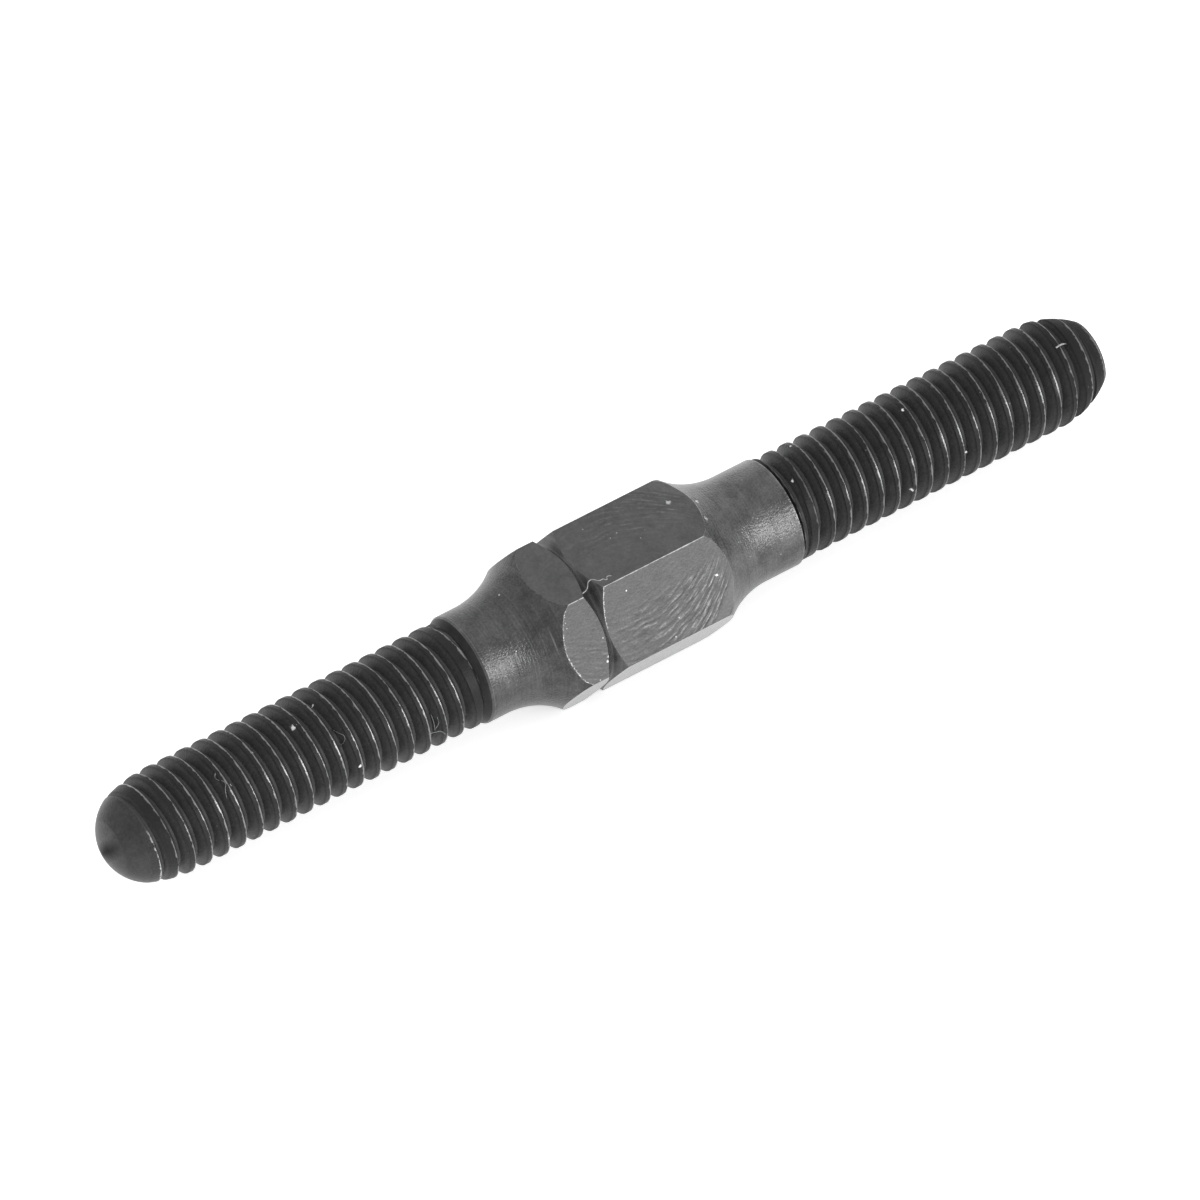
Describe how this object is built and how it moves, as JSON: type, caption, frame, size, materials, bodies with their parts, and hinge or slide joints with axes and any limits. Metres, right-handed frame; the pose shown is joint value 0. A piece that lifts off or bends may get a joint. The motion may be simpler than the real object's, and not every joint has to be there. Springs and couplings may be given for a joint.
{
  "type": "turnbuckle rod",
  "caption": "Short steel turnbuckle rod with opposite-hand threads, a hexagon wrench section with a V ring groove at mid-length, swept collars and rounded ends.",
  "frame": {"origin": "on the rod's axis at mid-length", "axes": "+X along the rod towards the left-hand thread, +Z out of the hexagon's upper flat"},
  "size_m": [0.0422, 0.0064, 0.0056],
  "materials": {
    "blackened_steel": "dark blackened steel, satin, with bright worn edges and machining marks"
  },
  "bodies": {
    "root": {"turnbuckle_rod": "blackened_steel"}
  },
  "joints": []
}
